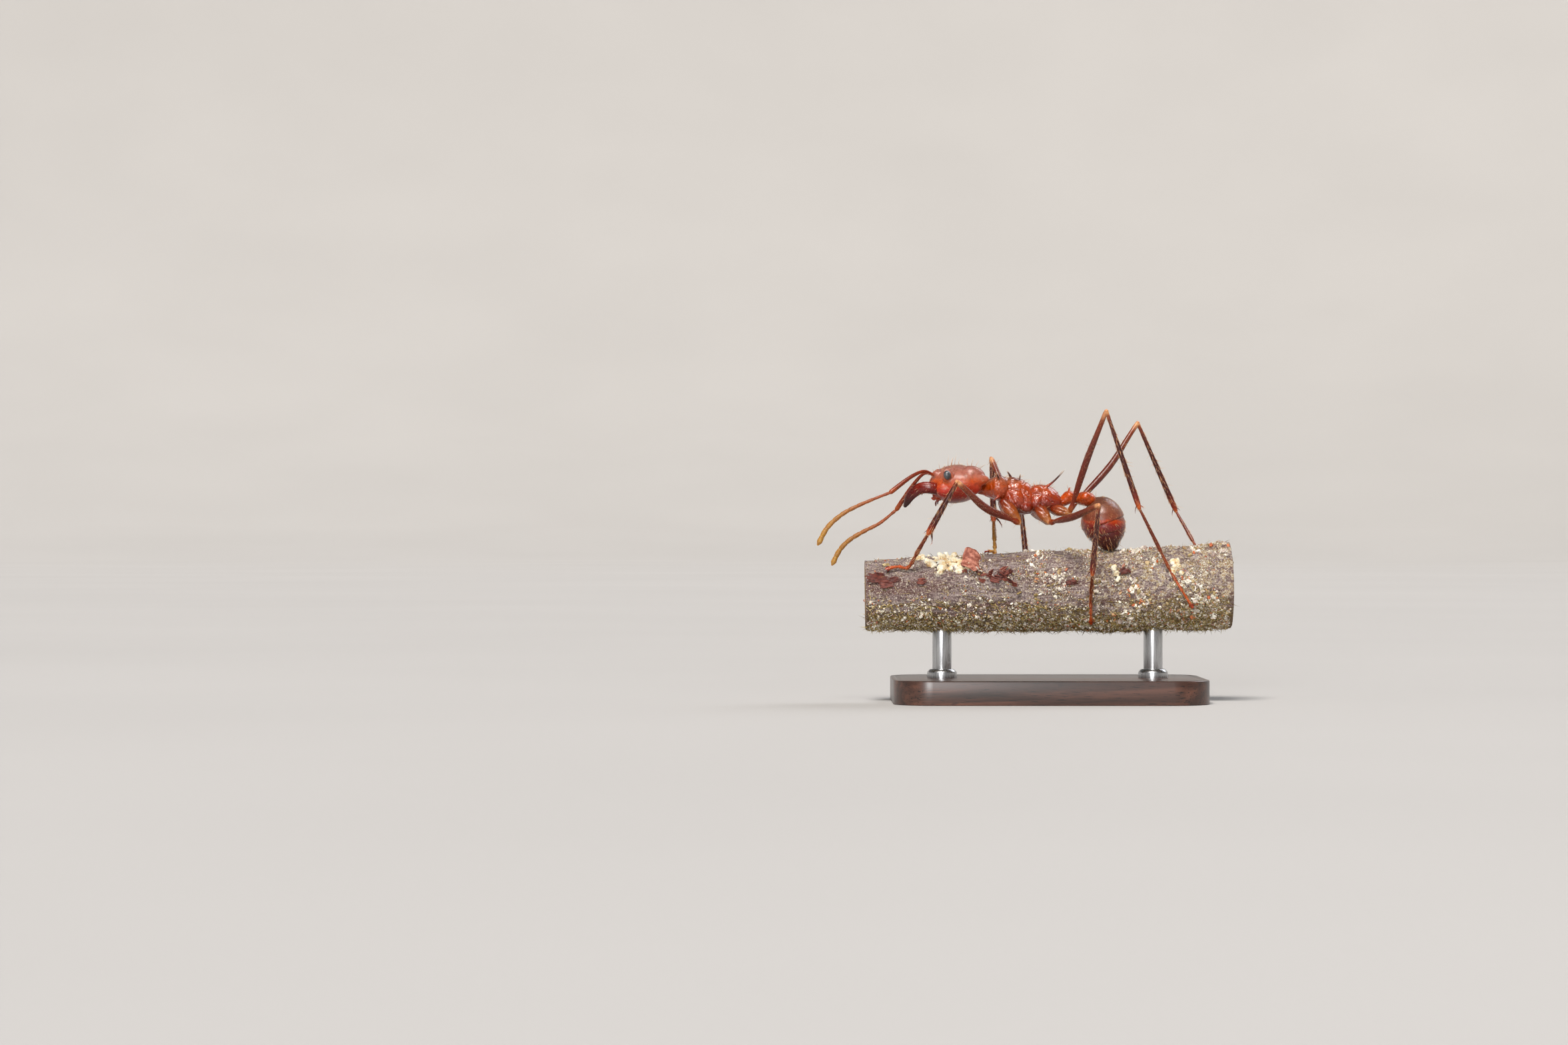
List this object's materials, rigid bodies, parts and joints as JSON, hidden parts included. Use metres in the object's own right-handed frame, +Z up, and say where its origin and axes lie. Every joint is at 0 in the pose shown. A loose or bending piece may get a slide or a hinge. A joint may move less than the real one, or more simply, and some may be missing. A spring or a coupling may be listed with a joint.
{
  "type": "leafcutter ant",
  "caption": "Still, life-size leafcutter ant worker stepping along a short cut length of twig, on a small flat display stand.",
  "frame": {"origin": "centre of the stand's underside, on the surface it stands on", "axes": "+X from the ant's head to its tail, along the twig; +Z up; -Y is the ant's left"},
  "size_m": [0.0174, 0.0085, 0.0123],
  "materials": {
    "red_brown_chitin": "satin red-brown chitin, paler orange below",
    "gaster_chitin": "matte brown chitin with golden hairs",
    "leg_chitin": "satin purple-brown chitin",
    "tawny_chitin": "satin amber chitin with short hairs",
    "dark_chitin": "glossy dark red-black chitin",
    "eye_facets": "glossy near-black facets",
    "twig_bark": "rough weathered bark with pale and orange crust",
    "steel_pin": "fine drawn steel",
    "dark_base": "dark stained hardwood, satin lacquer"
  },
  "bodies": {
    "root": {"eye_left": "eye_facets", "eye_right": "eye_facets", "funiculus_left": "tawny_chitin", "funiculus_right": "tawny_chitin", "gaster_segment_1": "gaster_chitin", "gaster_segment_2": "gaster_chitin", "gaster_segment_3": "gaster_chitin", "gaster_segment_4": "gaster_chitin", "head": "red_brown_chitin", "left_front_coxa": "leg_chitin", "left_front_femur": "leg_chitin", "left_front_tarsus": "tawny_chitin", "left_front_tibia": "leg_chitin", "left_hind_coxa": "leg_chitin", "left_hind_femur": "leg_chitin", "left_hind_tarsus": "tawny_chitin", "left_hind_tibia": "leg_chitin", "left_middle_coxa": "leg_chitin", "left_middle_femur": "leg_chitin", "left_middle_tarsus": "tawny_chitin", "left_middle_tibia": "leg_chitin", "mandible_left": "dark_chitin", "mandible_right": "dark_chitin", "mesothorax": "red_brown_chitin", "petiole": "red_brown_chitin", "postpetiole": "red_brown_chitin", "pronotum": "red_brown_chitin", "propodeum": "red_brown_chitin", "right_front_coxa": "leg_chitin", "right_front_femur": "leg_chitin", "right_front_tarsus": "tawny_chitin", "right_front_tibia": "leg_chitin", "right_hind_coxa": "leg_chitin", "right_hind_femur": "leg_chitin", "right_hind_tarsus": "tawny_chitin", "right_hind_tibia": "leg_chitin", "right_middle_coxa": "leg_chitin", "right_middle_femur": "leg_chitin", "right_middle_tarsus": "tawny_chitin", "right_middle_tibia": "leg_chitin", "scape_left": "red_brown_chitin", "scape_right": "red_brown_chitin", "stand_base": "dark_base", "stand_rod_left": "steel_pin", "stand_rod_right": "steel_pin", "twig": "twig_bark"}
  },
  "joints": []
}
